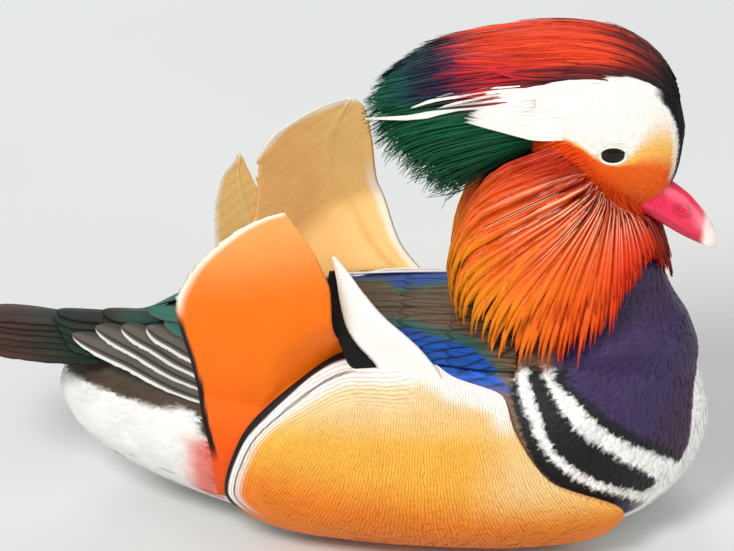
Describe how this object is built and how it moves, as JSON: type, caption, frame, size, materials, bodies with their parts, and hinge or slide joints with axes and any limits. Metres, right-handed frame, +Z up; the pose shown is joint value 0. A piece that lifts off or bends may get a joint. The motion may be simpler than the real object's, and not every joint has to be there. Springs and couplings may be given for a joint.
{
  "type": "mandarin duck drake, still life-size model",
  "caption": "Mandarin duck drake, life size, resting on its belly with feet tucked under: raised orange sail feathers, swept crest, hackled ruff and a pointed bill.",
  "frame": {"origin": "on the flat of the belly, under the middle of the back, at the level of the floor", "axes": "+X forward to the bill, +Y to the bird's left, +Z up"},
  "size_m": [0.296, 0.1366, 0.2059],
  "materials": {
    "body_feathers": "soft feather, brown back, white belly",
    "breast_feathers": "glossy purple feather with black and white bars",
    "ruff_feathers": "long orange-red hackles with pale shafts",
    "face_feathers": "short velvety feather, white to orange",
    "crest_feathers": "silky red, purple and green feather",
    "flank_feathers": "smooth gold feather with fine dark waves",
    "sail_feathers": "smooth orange vane with white and black edges",
    "flight_feathers": "grey-brown vane with white edge and green gloss",
    "shoulder_feathers": "brown, blue and white vane",
    "tail_feathers": "olive-brown vane with green gloss",
    "bill_horn": "smooth crimson horn with pale nail",
    "eye_gloss": "wet dark brown, nearly black",
    "foot_skin": "scaly dull orange-yellow skin"
  },
  "bodies": {
    "root": {"torso": "body_feathers", "breast": "breast_feathers", "neck": "ruff_feathers", "head": "face_feathers", "crest": "crest_feathers", "bill_upper": "bill_horn", "bill_lower": "bill_horn", "eye_left": "eye_gloss", "eye_right": "eye_gloss", "flank_left": "flank_feathers", "flank_right": "flank_feathers", "sail_left": "sail_feathers", "sail_right": "sail_feathers", "wing_left": "flight_feathers", "wing_right": "flight_feathers", "scapulars_left": "shoulder_feathers", "scapulars_right": "shoulder_feathers", "white_scapular_left": "shoulder_feathers", "white_scapular_right": "shoulder_feathers", "tail": "tail_feathers", "leg_left": "foot_skin", "leg_right": "foot_skin", "foot_left": "foot_skin", "foot_right": "foot_skin"}
  },
  "joints": []
}
